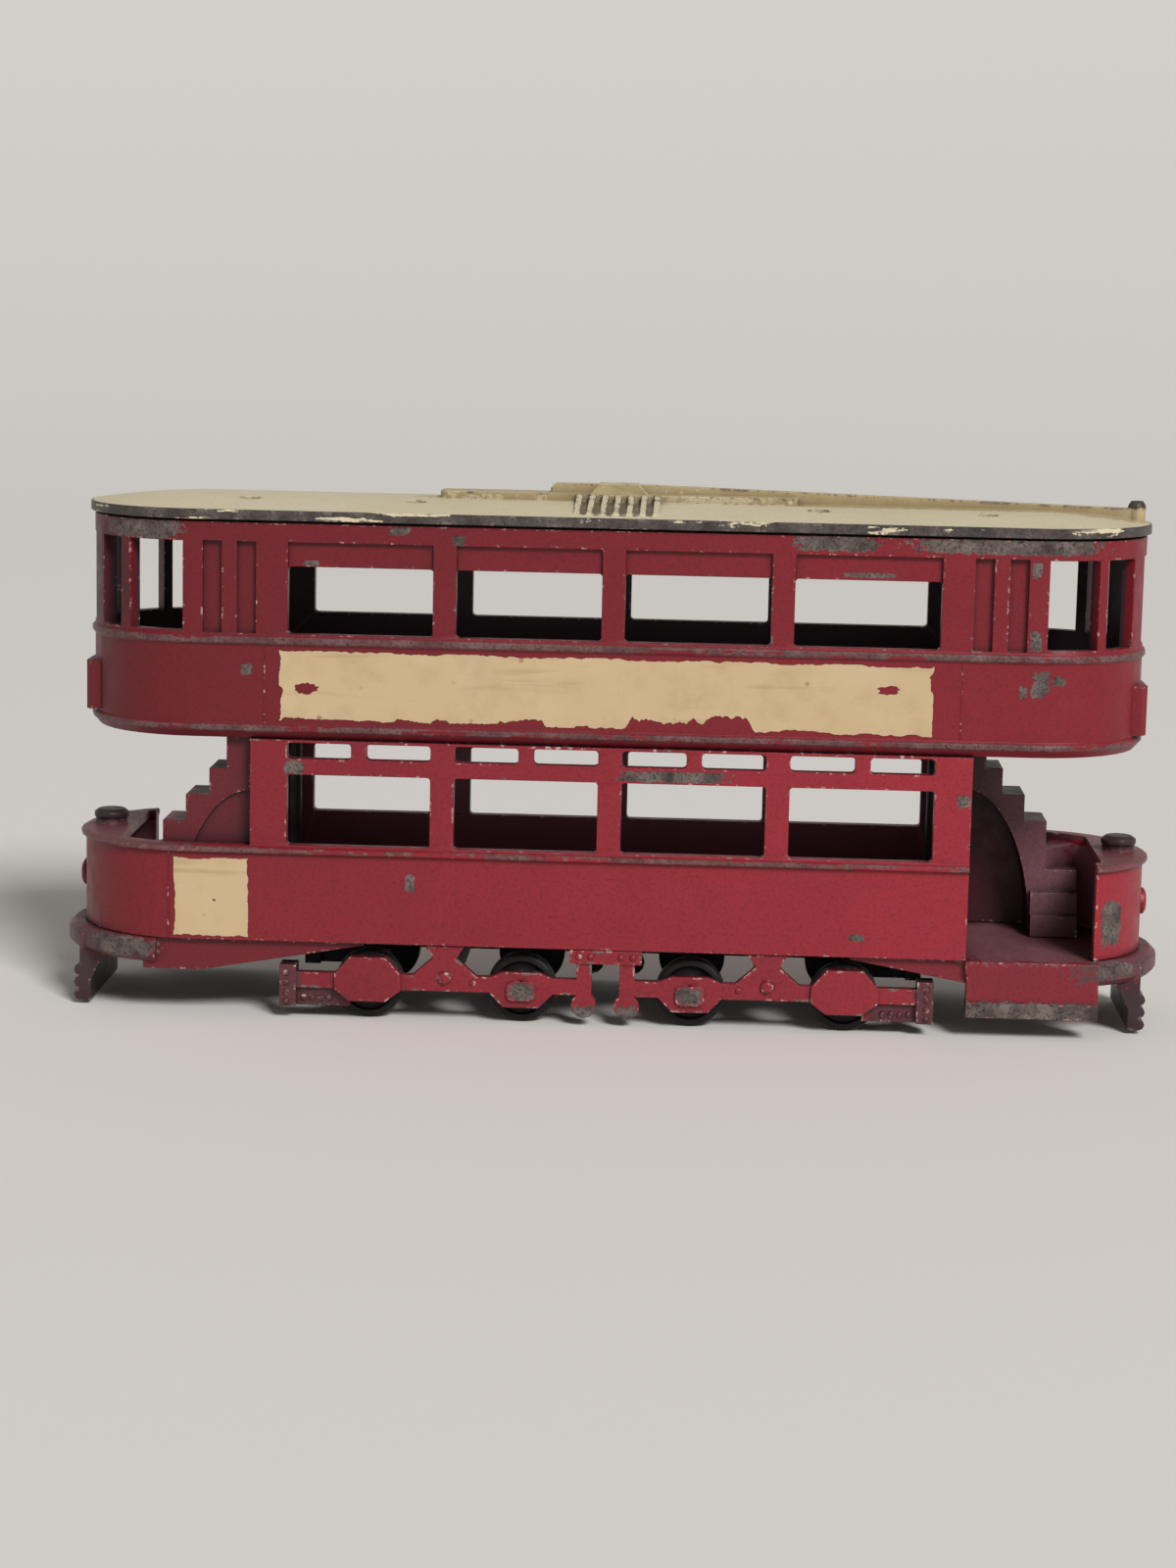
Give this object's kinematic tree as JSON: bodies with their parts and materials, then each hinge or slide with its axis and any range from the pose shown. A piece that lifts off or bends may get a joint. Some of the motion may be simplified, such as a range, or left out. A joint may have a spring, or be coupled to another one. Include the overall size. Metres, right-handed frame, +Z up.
{
  "type": "die-cast toy tram",
  "caption": "Die-cast toy double-deck tramcar with open windowed decks, winding end stairs, a roof with a folded pole and free-rolling wheelsets between bogie side frames.",
  "frame": {"origin": "on the ground under the middle of the car", "axes": "+X to the front of the car, +Y to its left, +Z up"},
  "size_m": [0.0808, 0.0176, 0.0387],
  "materials": {
    "red_enamel": "worn gloss enamel over a zinc casting",
    "cream_enamel": "worn satin enamel over a zinc casting",
    "blackened_steel": "blackened",
    "bright_steel": "plain"
  },
  "bodies": {
    "car_body": {"underframe_casting": "red_enamel", "front_staircase": "red_enamel", "rear_staircase": "red_enamel", "lower_deck_casting": "red_enamel", "upper_deck_casting": "red_enamel", "roof_casting": "cream_enamel", "left_truck_frame": "red_enamel", "right_truck_frame": "red_enamel", "front_roof_rivet": "bright_steel", "front_deck_rivet": "bright_steel", "front_frame_rivet_right": "bright_steel", "front_frame_rivet_left": "bright_steel", "rear_roof_rivet": "bright_steel", "rear_deck_rivet": "bright_steel", "rear_frame_rivet_right": "bright_steel", "rear_frame_rivet_left": "bright_steel"},
    "front_outer_wheelset": {"front_outer_axle": "bright_steel", "front_outer_wheel_left": "blackened_steel", "front_outer_wheel_right": "blackened_steel"},
    "front_inner_wheelset": {"front_inner_axle": "bright_steel", "front_inner_wheel_left": "blackened_steel", "front_inner_wheel_right": "blackened_steel"},
    "rear_inner_wheelset": {"rear_inner_axle": "bright_steel", "rear_inner_wheel_left": "blackened_steel", "rear_inner_wheel_right": "blackened_steel"},
    "rear_outer_wheelset": {"rear_outer_axle": "bright_steel", "rear_outer_wheel_left": "blackened_steel", "rear_outer_wheel_right": "blackened_steel"}
  },
  "joints": [
    {"name": "front_outer_roll", "type": "hinge", "parent": "car_body", "child": "front_outer_wheelset", "pos_m": [0.0172, 0, 0.0025], "axis": [0, 1, 0], "continuous": true},
    {"name": "front_inner_roll", "type": "hinge", "parent": "car_body", "child": "front_inner_wheelset", "pos_m": [0.0061, 0, 0.0025], "axis": [0, 1, 0], "continuous": true},
    {"name": "rear_inner_roll", "type": "hinge", "parent": "car_body", "child": "rear_inner_wheelset", "pos_m": [-0.0061, 0, 0.0025], "axis": [0, 1, 0], "continuous": true},
    {"name": "rear_outer_roll", "type": "hinge", "parent": "car_body", "child": "rear_outer_wheelset", "pos_m": [-0.0172, 0, 0.0025], "axis": [0, 1, 0], "continuous": true}
  ]
}
